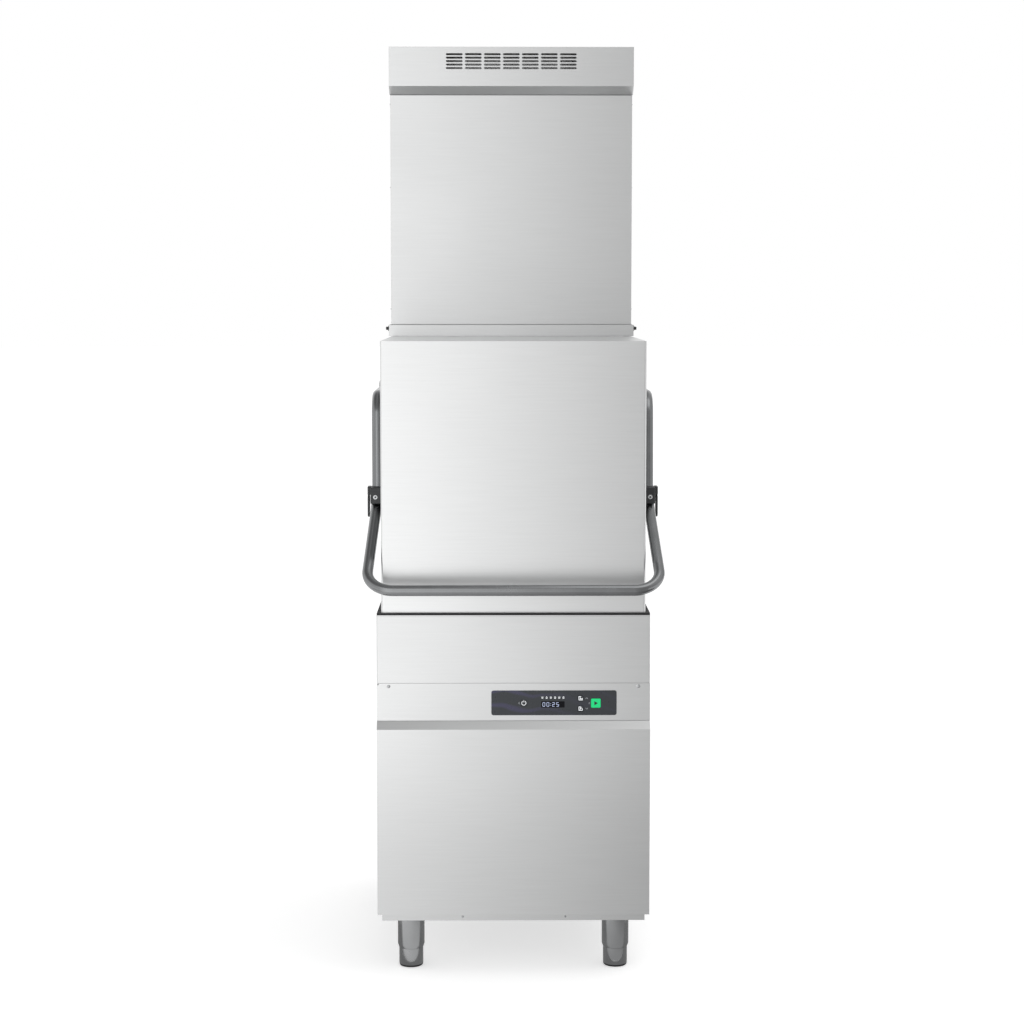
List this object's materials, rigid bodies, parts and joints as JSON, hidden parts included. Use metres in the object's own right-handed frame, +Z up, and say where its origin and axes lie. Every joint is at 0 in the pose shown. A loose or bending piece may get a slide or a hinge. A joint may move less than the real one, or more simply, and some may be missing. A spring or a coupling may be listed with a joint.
{
  "type": "hood dishwasher",
  "caption": "Tall pass-through dishwasher: steel cabinet on legs, lift-up hood worked by a wrap-around tube handle, and a rear heat-recovery tower with louvres.",
  "frame": {"origin": "on the floor, under the centre of the object's bounding box", "axes": "+Z up, -Y towards the person in front of it, +X to that person's right"},
  "size_m": [0.6916, 0.8924, 2.2],
  "materials": {
    "brushed_steel": "brushed",
    "steel": "satin",
    "dark_tube": "satin dark grey",
    "copper": "plain copper",
    "black_rubber": "matt",
    "black_plastic": "matt",
    "grey_plastic": "matt",
    "display": "satin foil",
    "green_plastic": "lit key"
  },
  "bodies": {
    "cabinet": {"base_frame": "brushed_steel", "lower_front_panel": "brushed_steel", "left_side_panel": "brushed_steel", "right_side_panel": "brushed_steel", "rear_panel": "brushed_steel", "control_strip": "brushed_steel", "upper_casing": "brushed_steel", "wash_tank": "brushed_steel", "column_casing": "brushed_steel", "tower_casing": "brushed_steel", "tower_front_panel": "brushed_steel", "louvre_band": "brushed_steel", "leg_sleeve_front_left": "steel", "leg_sleeve_front_right": "steel", "leg_sleeve_rear_left": "steel", "leg_sleeve_rear_right": "steel", "foot_front_left": "steel", "foot_front_right": "steel", "foot_rear_left": "steel", "foot_rear_right": "steel", "rack_guide": "steel", "tank_strainer": "steel", "tank_heater": "steel", "lower_manifold": "steel", "riser_pipe": "steel", "boiler": "steel", "left_guide_rod": "steel", "right_guide_rod": "steel", "left_spring": "steel", "right_spring": "steel", "boiler_heater": "copper", "condenser_coil": "copper", "rim_seal": "black_rubber", "suction_pipe": "black_rubber", "wash_pump_motor": "black_plastic", "wash_pump": "grey_plastic", "electrical_box": "grey_plastic", "fan_motor": "grey_plastic", "display_panel": "display"},
    "handle": {"pivot_shaft": "steel", "left_arm": "dark_tube", "right_arm": "dark_tube", "front_grip": "dark_tube", "left_joint_block": "black_plastic", "right_joint_block": "black_plastic"},
    "hood_assembly": {"hood": "brushed_steel", "left_guide_shoe": "black_plastic", "right_guide_shoe": "black_plastic", "left_lift_rail": "steel", "right_lift_rail": "steel"},
    "lower_wash_arm_body": {"lower_wash_arm": "brushed_steel"},
    "lower_rinse_arm_body": {"lower_rinse_arm": "steel"},
    "upper_wash_arm_body": {"upper_wash_arm": "brushed_steel"},
    "upper_rinse_arm_body": {"upper_rinse_arm": "steel"},
    "fan_impeller_body": {"fan_impeller": "black_plastic"},
    "standpipe_body": {"standpipe": "steel"},
    "power_button_body": {"power_button": "display"},
    "program_button_upper_body": {"program_button_upper": "display"},
    "program_button_lower_body": {"program_button_lower": "display"},
    "start_button_body": {"start_button": "green_plastic"}
  },
  "joints": [
    {"name": "handle_lift", "type": "hinge", "parent": "cabinet", "child": "handle", "pos_m": [0, 0.27625, 1.335], "axis": [-1, 0, 0], "range_deg": [0, 65], "deforming": ["left_spring", "right_spring"]},
    {"name": "hood_slide", "type": "slide", "parent": "cabinet", "child": "hood_assembly", "axis": [0, 0, 1], "range_m": [0, 0.42]},
    {"name": "lower_wash_arm_spin", "type": "hinge", "parent": "cabinet", "child": "lower_wash_arm_body", "pos_m": [0, -0.06375, 0.809], "axis": [0, 0, 1], "continuous": true},
    {"name": "lower_rinse_arm_spin", "type": "hinge", "parent": "cabinet", "child": "lower_rinse_arm_body", "pos_m": [0, -0.06375, 0.832], "axis": [0, 0, 1], "continuous": true},
    {"name": "upper_wash_arm_spin", "type": "hinge", "parent": "cabinet", "child": "upper_wash_arm_body", "pos_m": [0, -0.06375, 1.365], "axis": [0, 0, 1], "continuous": true},
    {"name": "upper_rinse_arm_spin", "type": "hinge", "parent": "cabinet", "child": "upper_rinse_arm_body", "pos_m": [0, -0.06375, 1.347], "axis": [0, 0, 1], "continuous": true},
    {"name": "fan_spin", "type": "hinge", "parent": "cabinet", "child": "fan_impeller_body", "pos_m": [0, 0.34225, 2.04], "axis": [0, 0, 1], "continuous": true},
    {"name": "standpipe_lift", "type": "slide", "parent": "cabinet", "child": "standpipe_body", "axis": [0, 0, 1], "range_m": [0, 0.06]},
    {"name": "power_button_press", "type": "slide", "parent": "cabinet", "child": "power_button_body", "axis": [0, 1, 0], "range_m": [0, 0.0012], "stiffness_N_per_m": 600},
    {"name": "program_button_upper_press", "type": "slide", "parent": "cabinet", "child": "program_button_upper_body", "axis": [0, 1, 0], "range_m": [0, 0.0012], "stiffness_N_per_m": 600},
    {"name": "program_button_lower_press", "type": "slide", "parent": "cabinet", "child": "program_button_lower_body", "axis": [0, 1, 0], "range_m": [0, 0.0012], "stiffness_N_per_m": 600},
    {"name": "start_button_press", "type": "slide", "parent": "cabinet", "child": "start_button_body", "axis": [0, 1, 0], "range_m": [0, 0.0012], "stiffness_N_per_m": 600}
  ],
  "couplings": [
    {"joint": "hood_slide", "follows": "handle_lift", "m_per_rad": 0.3702}
  ]
}
